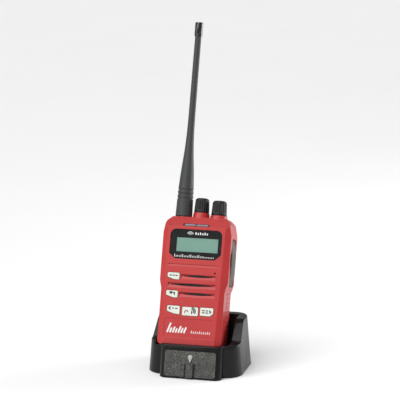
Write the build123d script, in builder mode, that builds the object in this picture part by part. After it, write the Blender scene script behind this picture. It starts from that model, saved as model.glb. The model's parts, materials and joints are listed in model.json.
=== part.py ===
"""Handheld two-way radio standing in its desktop charger.

The radio is drawn upright in its own frame (x right, y back, z up its axis, origin at the middle of its
bottom face) and tipped back into the charger by one location. The charger stands on z = 0 with the origin
at the centre of its base. Sizes are in millimetres.
"""

import os
from math import cos, radians, sin

from build123d import *

os.makedirs("parts", exist_ok=True)

# Radio case
case_height = 97.0
face_y = -14.5  # front face
case_back_y = 9.5  # back edge of the red case
low_half = 24.5  # half width of the grip
high_half = 26.3  # half width across the ears
ear_start, ear_full, ear_end = 42.0, 48.0, case_height - 12.5
shoulder_z, shoulder_half, crown_half = case_height - 3.6, 24.4, 20.6
bevel_start, bevel_back_y = case_height - 8.2, -8.0  # sloping top of the face
crease_low, crease_high = 20.0, 22.4  # half width of the flat face at the bottom and at the top
flank_slope = 0.66  # depth over width of the flanks
case_wall = 2.0
side_wall = 1.8
core_half = low_half - side_wall  # half width of the deep hollow
deep_y = -9.8  # front of the deep hollow
pocket_half = 20.9  # half width of the hollow right behind the face
crown_hollow = 19.4  # half width of the hollow under the top
hollow_shoulder = case_height - 6.0  # where the deep hollow narrows to it
crown_low, crown_high = case_height - 7.0, case_height - 2.0
shallow_low, shallow_high = 3.5, case_height - 8.5

# Fits
seat_gap = 0.05  # pieces of one body that rest on each other
slide_gap = 0.25  # pieces that move past each other
press_gap = 0.15  # fixed pieces dropped into a pocket

# Charger
cradle_width, cradle_depth, cradle_corner = 72.0, 53.0, 13.0
cradle_height, rim_height = 38.2, 24.2
cradle_draft = 4.6
cradle_wall = 2.3
bulge_half, bulge_front, bulge_lean = 23.8, -35.0, 14.0
wing_foot_y, wing_top_y = -12.0, 5.0
pocket_left, pocket_right = -29.2, 26.8
mat_thickness = 1.4
shell_foot = 0.4  # height of the shell's lower edge above the desk

# How the radio stands in the charger
lean = 19.0
dock_x = -3.5
dock = Location((dock_x, -11.5, 18.6), (-lean, 0, 0))
dock_gap = 0.6

battery_back_y = 19.8
battery_half = 21.5
battery_top = case_height - 13.0
battery_foot = 0.8
contact_places = [(-7.0, battery_back_y - 4.6), (7.0, battery_back_y - 4.6)]  # across, back


def facing(y):
    """Plane parallel to the radio's face, drawn as seen from the front."""
    return Plane.XZ.offset(-y)


def sideways(x):
    """Plane across the radio or charger, drawn with y to the right and z up."""
    return Plane.YZ.offset(x)


def outline_points(half):
    """A list of (x, z) points down one side, with its mirror image up the other."""
    return half + [(-x, z) for x, z in reversed(half)]


def case_outline():
    """Front view of the case with its rounded corners."""
    right = [
        (low_half, 0),
        (low_half, ear_start),
        (high_half, ear_full),
        (high_half, ear_end),
        (shoulder_half, shoulder_z),
        (crown_half, case_height),
    ]
    radii = {0: 3.0, ear_start: 9.0, ear_full: 9.0, ear_end: 3.0, shoulder_z: 4.0, case_height: 1.5}
    with BuildSketch(facing(face_y)) as outline:
        with BuildLine():
            Polyline(outline_points(right), close=True)
        make_face()
        for height, radius in radii.items():
            corners = outline.vertices().filter_by_position(Axis.Y, height - 0.1, height + 0.1)
            fillet(corners, radius)
    return outline.sketch


# Display
lens_width, lens_high = 40.0, case_height - 10.0
lens_low = lens_high - 22.5
lens_recess = 1.6
lens_thickness = 1.2
mask_thickness = 0.3
lcd_width, lcd_height, lcd_x, lcd_z = lens_width - 8.0, 10.6, 0.9, lens_high - 11.6
lcd_depth = 1.3
window_rim = 2.2  # how far the opening behind the lens stands out from the LCD's view area


def lens_outline(y, inset=0.0):
    """The lens's outline: round at the top, cut off at the bottom corners."""
    half = lens_width / 2
    right = [(half - 4.6, lens_low), (half, lens_low + 4.0), (half, lens_high)]
    with BuildSketch(facing(y)) as outline:
        with BuildLine():
            Polyline(outline_points(right), close=True)
        make_face()
        fillet(outline.vertices().group_by(Axis.Y)[-1], 4.5)
        fillet(outline.vertices().group_by(Axis.Y)[0], 2.0)
        if inset:
            offset(amount=-inset)
    return outline.sketch


# Keys: corner points as seen from the front
key_points = {
    "mode_key": [(-19.6, 53.8), (-10.4, 53.8), (-10.4, 48.7), (-14.5, 48.8), (-19.6, 50.4)],
    "return_key": [(-19.7, 40.3), (-10.7, 40.3), (-10.7, 35.0), (-14.5, 35.2), (-19.7, 36.9)],
    "scan_key": [(-18.0, 29.0), (-8.2, 29.0), (-8.2, 22.6), (-13.0, 23.1), (-18.0, 24.9)],
    "talk_key": [(-6.3, 28.6), (6.0, 28.6), (6.0, 22.1), (-6.3, 22.1)],
    "menu_key": [(7.5, 28.8), (17.6, 28.8), (17.6, 24.5), (15.3, 22.6), (7.5, 22.6)],
}
key_proud = 0.7
key_travel = 0.6
key_flange = 0.5
flange_front = face_y + case_wall + seat_gap * 2


def key_outline(name, y, grow=0.0):
    """One key's outline, with its corners rounded, grown by a margin."""
    with BuildSketch(facing(y)) as outline:
        with BuildLine():
            Polyline(key_points[name], close=True)
        make_face()
        fillet(outline.vertices(), 0.8)
        if grow:
            offset(amount=grow)
    return outline.sketch


# Speaker slots: height, left end, right end, opening height
slots = [(51.8, -9.2, 17.1, 1.7), (45.1, -19.0, 17.6, 1.9), (38.4, -9.6, 17.4, 1.8)]
groove_z, groove_half = 60.2, 20.0  # fine line under the display
lip_depth, lip_height, lip_brow = 1.5, 2.6, 0.25
field_half, field_low, field_high, field_depth = 18.8, 5.2, 19.8, 0.3  # shallow field under the keys
mic_x, mic_z, mic_hole = 16.5, 54.9, 0.7


def slot_eye(height, left, right, opening):
    """A speaker opening: two flat arcs that meet in points."""
    middle = (left + right) / 2
    with BuildSketch(facing(face_y - 1)) as eye:
        with BuildLine():
            upper = ThreePointArc((left, height), (middle, height + opening / 2), (right, height))
            ThreePointArc(upper @ 1, (middle, height - opening / 2), upper @ 0)
        make_face()
    return eye.sketch


# Controls on top: x, height of the collar, knob radius, knob height
stem_y = -2.0
controls = {
    "volume": (-0.4, case_height + 3.7, 5.8, 11.0),
    "channel": (13.2, case_height + 2.2, 5.95, 11.2),
}
knob_gap = 0.35
bushing_radius, bushing_gap = 3.0, 0.1
shaft_radius = 1.6
antenna_x = -14.0
socket_radius = 3.2

# Left side: push-to-talk bar and side key; right side: jacks and their cover
ptt_low, ptt_high, ptt_half, ptt_proud = 50.0, 82.0, 4.5, 1.1
side_key_low, side_key_high, side_key_half = 32.0, 39.5, 3.0
side_key_proud = 0.7
cover_low, cover_high, cover_front_y, cover_back_y = 46.5, 82.0, -7.0, 6.4
cover_inner_x, cover_outer_x = 24.9, 27.0
hinge_x, hinge_y, hinge_low, hinge_high = 25.7, 7.4, 58.0, 67.0
hinge_pin_radius, knuckle_radius = 0.5, 1.0
jack_y = 1.8
jacks = {"large": (64.0, 1.8), "small": (54.0, 1.3)}  # height, bore radius
jack_depth = 9.0

# Screws that hold the chassis in the case: x, z
top_screw_z = case_height - 10.4
screw_places = [(-19.2, 7.0), (19.2, 7.0), (-17.0, top_screw_z), (17.0, top_screw_z)]
post_radius, screw_radius = 2.5, 1.0
chassis_front_y = 6.8

light_width, light_height, light_x, light_depth = 20.0, 2.4, -0.9, 1.2
light_rise = 0.2  # how far up the bevel its middle is
bevel_rise = case_height - bevel_start
bevel_run = bevel_back_y - face_y
bevel_plane = Plane(
    origin=(light_x, face_y + bevel_run * light_rise, bevel_start + bevel_rise * light_rise),
    x_dir=(1, 0, 0),
    z_dir=(0, -bevel_rise, bevel_run),
)

with BuildPart() as front_case:
    extrude(case_outline(), amount=face_y - case_back_y)
    with BuildSketch(Plane.YZ) as bevel_cut:
        with BuildLine():
            corner = (face_y - 1, case_height + 1)
            slope = bevel_rise / bevel_run
            Polyline(
                corner,
                (face_y - 1, bevel_start - slope),
                (bevel_back_y + 1 / slope, case_height + 1),
                close=True,
            )
        make_face()
    extrude(amount=high_half + 1, both=True, mode=Mode.SUBTRACT)
    for side in (1, -1):
        spread = (crease_high - crease_low) / case_height
        with BuildSketch(Plane.XY.offset(-1)) as flank:
            with BuildLine():
                Polyline(
                    (side * (crease_low - 1 / flank_slope), face_y - 1),
                    (side * (high_half + 4), face_y - 1),
                    (side * (high_half + 4), face_y + flank_slope * (high_half + 4 - crease_low)),
                    close=True,
                )
            make_face()
        extrude(flank.sketch, amount=case_height + 4, dir=(side * spread, 0, 1), mode=Mode.SUBTRACT)
    # hollow: deep behind the flanks, shallow behind the face, and up under the top
    with BuildSketch(facing(deep_y)) as deep:
        with BuildLine():
            Polyline(
                outline_points([(core_half, side_wall), (core_half, ear_end), (crown_hollow, hollow_shoulder)]),
                close=True,
            )
        make_face()
    extrude(amount=deep_y - case_back_y, mode=Mode.SUBTRACT)
    with BuildSketch(facing(-6.0)) as crown:
        with Locations((0, (crown_low + crown_high) / 2)):
            Rectangle(2 * crown_hollow, crown_high - crown_low)
    extrude(amount=-6.0 - case_back_y, mode=Mode.SUBTRACT)
    with BuildSketch(facing(face_y + case_wall)) as shallow:
        with Locations((0, (shallow_low + shallow_high) / 2)):
            Rectangle(2 * pocket_half, shallow_high - shallow_low)
    extrude(amount=face_y + case_wall - deep_y, mode=Mode.SUBTRACT)
    # display seat and window
    extrude(lens_outline(face_y), amount=-lens_recess, mode=Mode.SUBTRACT)
    with BuildSketch(facing(face_y)) as window:
        with Locations((lcd_x, lcd_z)):
            Rectangle(lcd_width + 2 * window_rim, lcd_height + 2 * window_rim)
    extrude(amount=-case_wall - 1, mode=Mode.SUBTRACT)
    # speaker slots over their sloping lips, and the fine line under the display
    for height, left, right, opening in slots:
        with BuildSketch(sideways(left)) as lip:
            with BuildLine():
                brow = height + opening / 2 + lip_brow
                Polyline(
                    (face_y - 0.1, brow), (face_y + lip_depth, brow), (face_y - 0.1, height - lip_height),
                    close=True,
                )
            make_face()
        extrude(amount=right - left, mode=Mode.SUBTRACT)
        extrude(slot_eye(height, left + 0.8, right - 0.8, opening), amount=-5, mode=Mode.SUBTRACT)
    with BuildSketch(sideways(-groove_half)) as groove:
        with BuildLine():
            Polyline(
                (face_y - 0.1, groove_z + 0.4), (face_y + 0.6, groove_z + 0.4), (face_y - 0.1, groove_z - 1.4),
                close=True,
            )
        make_face()
    extrude(amount=2 * groove_half, mode=Mode.SUBTRACT)
    with BuildSketch(facing(face_y)) as lower_field:
        with Locations((-0.8, (field_low + field_high) / 2)):
            RectangleRounded(2 * field_half, field_high - field_low, 1.5)
    extrude(amount=-field_depth, mode=Mode.SUBTRACT)
    with BuildSketch(facing(face_y - 1)) as mic_opening:
        with Locations((mic_x, mic_z)):
            Circle(mic_hole)
    extrude(amount=-4, mode=Mode.SUBTRACT)
    for name in key_points:
        extrude(key_outline(name, face_y - 1, slide_gap), amount=-4, mode=Mode.SUBTRACT)
    # light window on the bevel
    with BuildSketch(bevel_plane) as light_seat:
        Rectangle(light_width + 2 * seat_gap, light_height + 2 * seat_gap)
    extrude(amount=-light_depth, mode=Mode.SUBTRACT)
    # collars and bores on top
    for x, collar_top, knob_radius, knob_height in controls.values():
        with BuildSketch(Plane((x, stem_y, case_height - 1.5))) as collar:
            Circle(knob_radius + 0.9)
        extrude(amount=collar_top - case_height + 1.5, taper=7)
        with BuildSketch(Plane((x, stem_y, case_height - 3))) as bore:
            Circle(bushing_radius + bushing_gap)
        extrude(amount=10, mode=Mode.SUBTRACT)
        with BuildSketch(Plane((x, stem_y, collar_top - 1.8))) as nut_seat:
            Circle(4.7)
        extrude(amount=3, mode=Mode.SUBTRACT)
    with BuildSketch(Plane((antenna_x, stem_y, case_height - 3))) as antenna_bore:
        Circle(socket_radius + bushing_gap)
    extrude(amount=5, mode=Mode.SUBTRACT)
    # openings in the sides
    with BuildSketch(sideways(-high_half - 1)) as ptt_opening:
        with Locations((0, (ptt_low + ptt_high) / 2)):
            RectangleRounded(
                2 * (ptt_half + slide_gap), ptt_high - ptt_low + 2 * slide_gap, ptt_half - 0.5
            )
    extrude(amount=high_half + 1 - core_half + 1, mode=Mode.SUBTRACT)
    with BuildSketch(sideways(-low_half - 1)) as side_key_opening:
        with Locations((0, (side_key_low + side_key_high) / 2)):
            RectangleRounded(
                2 * (side_key_half + slide_gap), side_key_high - side_key_low + 2 * slide_gap, 2.4
            )
    extrude(amount=low_half - core_half + 2, mode=Mode.SUBTRACT)
    with BuildSketch(sideways(cover_inner_x - 0.2)) as cover_seat:
        with Locations(((cover_front_y + cover_back_y) / 2, (cover_low + cover_high) / 2)):
            RectangleRounded(
                cover_back_y - cover_front_y + 0.6, cover_high - cover_low + 0.6, 3.0
            )
        with Locations((cover_front_y - 0.6, 66.0)):
            RectangleRounded(3.4, 10.0, 1.0)
    extrude(amount=3, mode=Mode.SUBTRACT)
    with BuildSketch(Plane((hinge_x, hinge_y, hinge_low - 0.3))) as knuckle_seat:
        Circle(knuckle_radius + 0.3)
        with Locations((1.0, 0), (0, -0.8)):
            Rectangle(2.0, 2 * (knuckle_radius + 0.3))
    extrude(amount=hinge_high - hinge_low + 0.6, mode=Mode.SUBTRACT)
    with BuildSketch(Plane((hinge_x, hinge_y, hinge_low - 3))) as pin_bore:
        Circle(hinge_pin_radius + 0.03)
    extrude(amount=hinge_high - hinge_low + 6, mode=Mode.SUBTRACT)
    for height, bore_radius in jacks.values():
        with BuildSketch(Plane((core_half - 1, jack_y, height), z_dir=(1, 0, 0))) as jack_hole:
            Circle(bore_radius + 1.2)
        extrude(amount=5, mode=Mode.SUBTRACT)
    # screw posts inside
    for x, z in screw_places:
        with BuildSketch(facing(chassis_front_y - seat_gap)) as post:
            with Locations((x, z)):
                Circle(post_radius)
                with Locations((1.5 if x > 0 else -1.5, 0)):
                    Rectangle(3, 2 * post_radius)
        extrude(amount=chassis_front_y - seat_gap - deep_y + 0.5)
        with BuildSketch(facing(chassis_front_y)) as post_bore:
            with Locations((x, z)):
                Circle(screw_radius + 0.05)
        extrude(amount=9, mode=Mode.SUBTRACT)
front_case.part.label = "front_case"

with BuildPart() as display_lens:
    extrude(lens_outline(face_y, 0.1), amount=-lens_thickness)
    chamfer(display_lens.faces().sort_by(Axis.Y)[0].edges(), 0.25)
display_lens.part.label = "display_lens"

mask_y = face_y + lens_thickness + 0.02
with BuildPart() as lens_mask:
    extrude(lens_outline(mask_y, 0.15), amount=-mask_thickness)
    with BuildSketch(facing(mask_y)) as view:
        with Locations((lcd_x, lcd_z)):
            Rectangle(lcd_width, lcd_height)
    extrude(amount=-mask_thickness, mode=Mode.SUBTRACT)
lens_mask.part.label = "lens_mask"

lcd_y = mask_y + mask_thickness + 0.03
with BuildPart() as lcd_panel:
    with BuildSketch(facing(lcd_y)) as glass:
        with Locations((lcd_x, lcd_z)):
            Rectangle(lcd_width + 2.8, lcd_height + 2.8)
    extrude(amount=-lcd_depth)
lcd_panel.part.label = "lcd_panel"

frame_back_y = lcd_y + lcd_depth + seat_gap
frame_y = face_y + case_wall + 0.05
with BuildPart() as lcd_frame:
    with BuildSketch(facing(frame_y)) as frame_outside:
        with Locations((lcd_x, lcd_z)):
            Rectangle(lcd_width + 6.4, lcd_height + 7.4)
            Rectangle(lcd_width + 3.0, lcd_height + 3.0, mode=Mode.SUBTRACT)
    extrude(amount=frame_y - frame_back_y)
    with BuildSketch(facing(frame_back_y)) as frame_back:
        with Locations((lcd_x, lcd_z)):
            Rectangle(lcd_width + 6.4, lcd_height + 7.4)
    extrude(amount=-0.6)
lcd_frame.part.label = "lcd_frame"

key_pieces = []
for name in key_points:
    with BuildPart() as key_cap:
        extrude(key_outline(name, face_y - key_proud), amount=face_y - key_proud - flange_front)
        fillet(key_cap.faces().sort_by(Axis.Y)[0].edges(), 0.35)
        extrude(key_outline(name, flange_front, 0.6), amount=-key_flange)
    key_cap.part.label = name
    key_pieces.append(key_cap)

mat_y = flange_front + key_flange + key_travel + 0.1
mat_depth, key_board_depth = 0.8, 0.8


def keypad_area(y, inset=0.0):
    """L-shaped area behind the five keys."""
    with BuildSketch(facing(y)) as area:
        with Locations((-15.0, 39.2)):
            Rectangle(10.6 - 2 * inset, 35.0 - 2 * inset)
        with Locations((0.0, 26.2)):
            Rectangle(40.0 - 2 * inset, 9.0 - 2 * inset)
    return area.sketch


with BuildPart() as keypad_mat:
    extrude(keypad_area(mat_y), amount=-mat_depth)
keypad_mat.part.label = "keypad_mat"

with BuildPart() as key_board:
    extrude(keypad_area(mat_y + mat_depth + seat_gap, 0.2), amount=-key_board_depth)
key_board.part.label = "key_board"

speaker_x, speaker_z, speaker_radius, speaker_depth = 3.9, 46.4, 12.5, 4.6
speaker_y = face_y + case_wall + seat_gap
with BuildPart() as speaker:
    with BuildSketch(facing(speaker_y)) as basket:
        with Locations((speaker_x, speaker_z)):
            Circle(speaker_radius)
    extrude(amount=-speaker_depth * 0.45)
    with BuildSketch(facing(speaker_y + speaker_depth * 0.45)) as magnet:
        with Locations((speaker_x, speaker_z)):
            Circle(speaker_radius * 0.62)
    extrude(amount=-speaker_depth * 0.55)
    with BuildSketch(facing(speaker_y)) as cone_space:
        with Locations((speaker_x, speaker_z)):
            Circle(speaker_radius - 1.4)
    extrude(amount=-1.4, taper=40, mode=Mode.SUBTRACT)
speaker.part.label = "speaker"

with BuildPart() as microphone:
    with BuildSketch(facing(face_y + case_wall + 0.05)) as capsule:
        with Locations((mic_x + 1.0, mic_z + 2.6)):
            Circle(2.4)
    extrude(amount=-2.2)
microphone.part.label = "microphone"

board_y, board_depth, board_half, board_low, board_high = -3.2, 1.2, 19.6, 5.0, case_height - 7.7
with BuildPart() as main_board:
    with BuildSketch(facing(board_y)) as laminate:
        with Locations((0, (board_low + board_high) / 2)):
            Rectangle(2 * board_half, board_high - board_low)
        for x, z in screw_places:
            with Locations((x, z)):
                Circle(post_radius + 0.4, mode=Mode.SUBTRACT)
                with Locations((1.5 if x > 0 else -1.5, 0)):
                    Rectangle(4, 2 * post_radius + 0.8, mode=Mode.SUBTRACT)
    extrude(amount=-board_depth)
main_board.part.label = "main_board"

with BuildPart() as shield_can:
    with BuildSketch(facing(board_y + board_depth + seat_gap)) as can:
        with Locations((-3.5, 34.0)):
            RectangleRounded(27.0, 34.0, 1.0)
    extrude(amount=-3.4)
    can_front = shield_can.faces().sort_by(Axis.Y)[0]
    offset(amount=-0.4, openings=can_front)
shield_can.part.label = "shield_can"

with BuildPart() as chassis:
    with BuildSketch(facing(chassis_front_y)) as plate:
        with BuildLine():
            edge = core_half - press_gap
            foot = side_wall + press_gap
            top_edge = crown_hollow - 0.2
            Polyline(
                outline_points([
                    (edge, foot), (edge, ear_end - 0.2), (top_edge, hollow_shoulder - 0.4),
                    (top_edge, crown_high - 0.2),
                ]),
                close=True,
            )
        make_face()
    extrude(amount=chassis_front_y - case_back_y)
    with BuildSketch(facing(chassis_front_y)) as ribs:
        with Locations((0, 14.0), (0, 54.0), (0, 80.0)):
            Rectangle(20.0, 1.2)
    extrude(amount=2.5)
    for x, z in screw_places:
        with BuildSketch(facing(chassis_front_y - 1)) as screw_way:
            with Locations((x, z)):
                Circle(screw_radius + 0.15)
        extrude(amount=-6, mode=Mode.SUBTRACT)
        with BuildSketch(facing(case_back_y - 1.5)) as head_seat:
            with Locations((x, z)):
                Circle(2.1)
        extrude(amount=-3, mode=Mode.SUBTRACT)
chassis.part.label = "chassis"

with BuildPart() as case_screws:
    for x, z in screw_places:
        with BuildSketch(facing(case_back_y - 1.45)) as head:
            with Locations((x, z)):
                Circle(1.9)
        extrude(amount=-1.2)
        with BuildSketch(facing(case_back_y - 1.45)) as shank:
            with Locations((x, z)):
                Circle(screw_radius)
        extrude(amount=7.5)
        with BuildSketch(facing(case_back_y - 0.9)) as drive:
            with Locations((x, z)):
                Rectangle(2.4, 0.55)
                Rectangle(0.55, 2.4)
        extrude(amount=-2, mode=Mode.SUBTRACT)
case_screws.part.label = "case_screws"

with BuildPart() as status_frame:
    with BuildSketch(bevel_plane) as light_frame:
        Rectangle(light_width, light_height)
    extrude(amount=-light_depth + seat_gap)
    with BuildSketch(bevel_plane) as light_cells:
        with BuildLine():
            Polyline((-9.4, -0.8), (-1.2, -0.8), (-0.2, 0.8), (-8.6, 0.8), close=True)
        make_face()
        with BuildLine():
            Polyline((-0.4, -0.8), (9.0, -0.8), (9.4, 0.8), (0.6, 0.8), close=True)
        make_face()
    extrude(amount=-0.7, mode=Mode.SUBTRACT)
status_frame.part.label = "status_frame"

with BuildPart() as status_lights:
    with BuildSketch(bevel_plane.offset(-0.68)) as light_bars:
        with BuildLine():
            Polyline((-9.3, -0.75), (-1.25, -0.75), (-0.28, 0.75), (-8.55, 0.75), close=True)
        make_face()
        with BuildLine():
            Polyline((-0.32, -0.75), (8.95, -0.75), (9.3, 0.75), (0.65, 0.75), close=True)
        make_face()
    extrude(amount=0.66)
status_lights.part.label = "status_lights"

control_pieces = []
for name, (x, collar_top, knob_radius, knob_height) in controls.items():
    knob_foot = collar_top + knob_gap
    with BuildPart() as pot:
        with BuildSketch(Plane((x, stem_y, case_height - 2.05))) as pot_body:
            RectangleRounded(9.6, 7.4, 0.8)
        extrude(amount=-5.4)
        with BuildSketch(Plane((x, stem_y, case_height - 2.05))) as bushing:
            Circle(bushing_radius)
        extrude(amount=collar_top - case_height + 2.05 - 0.5)
        with BuildSketch(Plane((x, stem_y, case_height - 6))) as shaft_way:
            Circle(shaft_radius + 0.06)
        extrude(amount=14, mode=Mode.SUBTRACT)
    pot.part.label = "volume_pot" if name == "volume" else "channel_encoder"
    with BuildPart() as shaft:
        with BuildSketch(Plane((x, stem_y, case_height - 5.9))) as stem:
            Circle(shaft_radius)
        extrude(amount=knob_foot + knob_height * 0.62 - case_height + 5.9)
        with BuildSketch(Plane((x, stem_y, knob_foot + 1.0))) as flat:
            with Locations((0, shaft_radius)):
                Rectangle(2 * shaft_radius, 1.4)
        extrude(amount=knob_height, mode=Mode.SUBTRACT)
    shaft.part.label = f"{name}_shaft"
    with BuildPart() as knob:
        with BuildSketch(Plane((x, stem_y, knob_foot))) as skirt:
            Circle(knob_radius)
        extrude(amount=knob_height, taper=3.5)
        fillet(knob.faces().sort_by(Axis.Z)[-1].edges(), 2.0)
        with BuildSketch(Plane((x, stem_y, knob_foot + 1.1))) as flutes:
            with PolarLocations(knob_radius + 0.1, 18):
                Circle(0.62)
        extrude(amount=knob_height - 2.6, taper=-2.0, mode=Mode.SUBTRACT)
        with BuildSketch(Plane((x, stem_y, knob_foot))) as knob_hollow:
            Circle(knob_radius - 1.6)
            Circle(shaft_radius + 1.1, mode=Mode.SUBTRACT)
        extrude(amount=knob_height * 0.5, mode=Mode.SUBTRACT)
        with BuildSketch(Plane((x, stem_y, knob_foot))) as shaft_socket:
            Circle(shaft_radius + 0.02)
        extrude(amount=knob_height * 0.64, mode=Mode.SUBTRACT)
    knob.part.label = f"{name}_knob"
    control_pieces += [pot, shaft, knob]

with BuildPart() as bushing_nuts:
    for x, collar_top, knob_radius, knob_height in controls.values():
        with BuildSketch(Plane((x, stem_y, collar_top - 1.75))) as nut:
            RegularPolygon(4.4, 6)
            Circle(bushing_radius + 0.03, mode=Mode.SUBTRACT)
        extrude(amount=1.5)
bushing_nuts.part.label = "bushing_nuts"

antenna_seat = case_height + 0.6
with BuildPart() as antenna_socket:
    with BuildSketch(Plane((antenna_x, stem_y, case_height - 2.05))) as socket_flange:
        Circle(socket_radius + 0.6)
    extrude(amount=-1.6)
    with BuildSketch(Plane((antenna_x, stem_y, case_height - 2.05))) as socket_barrel:
        Circle(socket_radius)
    extrude(amount=2.05 + 3.6)
    with BuildSketch(Plane((antenna_x, stem_y, case_height - 1))) as socket_bore:
        Circle(1.6)
    extrude(amount=6, mode=Mode.SUBTRACT)
antenna_socket.part.label = "antenna_socket"

antenna_length = 149.5
sleeve_foot_radius, sleeve_ring_radius, whip_radius = 6.45, 5.85, 2.4
taper_start, whip_start = 21.0, 72.0
antenna_axis = Axis((antenna_x, stem_y, 0), (0, 0, 1))
antenna_plane = Plane((antenna_x, stem_y, antenna_seat), x_dir=(1, 0, 0), z_dir=(0, -1, 0))
cap_foot = antenna_length - 10.6
with BuildPart() as antenna_sleeve:
    with BuildSketch(antenna_plane) as sleeve_profile:
        with BuildLine():
            foot_line = Line((0, 0), (sleeve_foot_radius, 0))
            ringed = Line(foot_line @ 1, (sleeve_ring_radius, taper_start))
            whip_taper = Spline(
                ringed @ 1, (4.9, 35.0), (3.45, 50.0), (2.6, whip_start),
                tangents=[(-0.03, 1), (-0.004, 1)],
            )
            whip = Line(whip_taper @ 1, (whip_radius, cap_foot + 2))
            Polyline(whip @ 1, (0, cap_foot + 2), (0, 0))
        make_face()
    revolve(axis=antenna_axis)
    for ring in (13.7, 16.9, 20.2):
        with BuildSketch(antenna_plane) as ring_profile:
            with Locations((sleeve_foot_radius - 0.28 - 0.0286 * (ring - 8), ring)):
                Circle(0.55)
        revolve(axis=antenna_axis, mode=Mode.SUBTRACT)
    with BuildSketch(Plane((antenna_x, stem_y, antenna_seat))) as socket_hollow:
        Circle(socket_radius + 0.1)
    extrude(amount=3.4, mode=Mode.SUBTRACT)
    with BuildSketch(Plane((antenna_x, stem_y, antenna_seat))) as core_way:
        Circle(1.15)
    extrude(amount=cap_foot, mode=Mode.SUBTRACT)
antenna_sleeve.part.label = "antenna_sleeve"

with BuildPart() as antenna_core:
    with BuildSketch(Plane((antenna_x, stem_y, antenna_seat + 0.4))) as core:
        Circle(1.1)
    extrude(amount=cap_foot - 1.0)
antenna_core.part.label = "antenna_core"

with BuildPart() as antenna_cap:
    with BuildSketch(Plane((antenna_x, stem_y, antenna_seat + cap_foot))) as cap:
        Circle(3.1)
    extrude(amount=10.6)
    fillet(antenna_cap.faces().sort_by(Axis.Z)[-1].edges(), 0.8)
    with BuildSketch(Plane((antenna_x, stem_y, antenna_seat + cap_foot))) as cap_socket:
        Circle(whip_radius + 0.05)
    extrude(amount=2.05, mode=Mode.SUBTRACT)
    with BuildSketch(Plane((antenna_x, stem_y, antenna_seat + antenna_length - 1.4))) as cap_slots:
        Rectangle(1.0, 8)
        Rectangle(8, 1.0)
    extrude(amount=2, mode=Mode.SUBTRACT)
    with BuildSketch(Plane((antenna_x, stem_y, antenna_seat + cap_foot + 0.9))) as cap_groove:
        Circle(3.3)
        Circle(2.85, mode=Mode.SUBTRACT)
    extrude(amount=0.5, mode=Mode.SUBTRACT)
antenna_cap.part.label = "antenna_cap"

with BuildPart() as ptt_bar:
    with BuildSketch(sideways(-core_half + 0.1)) as bar:
        with Locations((0, (ptt_low + ptt_high) / 2)):
            RectangleRounded(2 * ptt_half, ptt_high - ptt_low, ptt_half - 0.6)
    extrude(amount=-(high_half + ptt_proud - core_half + 0.1))
    fillet(ptt_bar.faces().sort_by(Axis.X)[0].edges(), 0.9)
    for rib in range(7):
        with BuildSketch(sideways(-high_half - ptt_proud + 0.35)) as grip:
            with Locations((0, 60.0 + 2.0 * rib)):
                Rectangle(5.6, 0.8)
        extrude(amount=-1, mode=Mode.SUBTRACT)
    with BuildSketch(sideways(-core_half + 0.1)) as ptt_flange:
        with Locations((0, (ptt_low + ptt_high) / 2)):
            Rectangle(2 * ptt_half + 1.6, ptt_high - ptt_low + 1.6)
    extrude(amount=0.8)
ptt_bar.part.label = "ptt_bar"

with BuildPart() as side_key:
    with BuildSketch(sideways(-core_half + 0.1)) as side_button:
        with Locations((0, (side_key_low + side_key_high) / 2)):
            RectangleRounded(2 * side_key_half, side_key_high - side_key_low, 2.2)
    extrude(amount=-(low_half + side_key_proud - core_half + 0.1))
    fillet(side_key.faces().sort_by(Axis.X)[0].edges(), 0.5)
    with BuildSketch(sideways(-core_half + 0.1)) as side_flange:
        with Locations((0, (side_key_low + side_key_high) / 2)):
            Rectangle(2 * side_key_half + 1.4, side_key_high - side_key_low + 1.4)
    extrude(amount=0.6)
side_key.part.label = "side_key"

with BuildPart() as jack_cover:
    with BuildSketch(sideways(cover_inner_x)) as cover_face:
        with Locations(((cover_front_y + cover_back_y) / 2, (cover_low + cover_high) / 2)):
            RectangleRounded(cover_back_y - cover_front_y, cover_high - cover_low, 2.8)
    extrude(amount=cover_outer_x - cover_inner_x)
    with BuildSketch(facing(cover_back_y + 1)) as crown_cut:
        with BuildLine():
            middle = (cover_low + cover_high) / 2
            arc = ThreePointArc(
                (cover_inner_x + 0.5, cover_low), (cover_outer_x, middle), (cover_inner_x + 0.5, cover_high)
            )
            Polyline(arc @ 1, (cover_inner_x - 1, cover_high), (cover_inner_x - 1, cover_low), arc @ 0)
        make_face()
    extrude(amount=cover_back_y - cover_front_y + 2, mode=Mode.INTERSECT)
    with BuildSketch(Plane((hinge_x, hinge_y, hinge_low))) as knuckle:
        Circle(knuckle_radius)
        with Locations((0.1, -0.7)):
            Rectangle(1.5, 1.4)
    extrude(amount=hinge_high - hinge_low)
    with BuildSketch(Plane((hinge_x, hinge_y, hinge_low - 1))) as knuckle_bore:
        Circle(hinge_pin_radius + 0.05)
    extrude(amount=hinge_high - hinge_low + 2, mode=Mode.SUBTRACT)
jack_cover.part.label = "jack_cover"

with BuildPart() as cover_pin:
    with BuildSketch(Plane((hinge_x, hinge_y, hinge_low - 2.8))) as pin:
        Circle(hinge_pin_radius)
    extrude(amount=hinge_high - hinge_low + 5.6)
cover_pin.part.label = "cover_pin"

with BuildPart() as jack_block:
    with BuildSketch(sideways(core_half - 0.2)) as block:
        with Locations((jack_y, 59.0)):
            Rectangle(6.6, 19.0)
    extrude(amount=-11)
    for height, bore_radius in jacks.values():
        with BuildSketch(Plane((core_half - 0.2, jack_y, height), z_dir=(1, 0, 0))) as jack_bore:
            Circle(bore_radius)
        extrude(amount=-jack_depth, mode=Mode.SUBTRACT)
jack_block.part.label = "jack_block"

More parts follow.
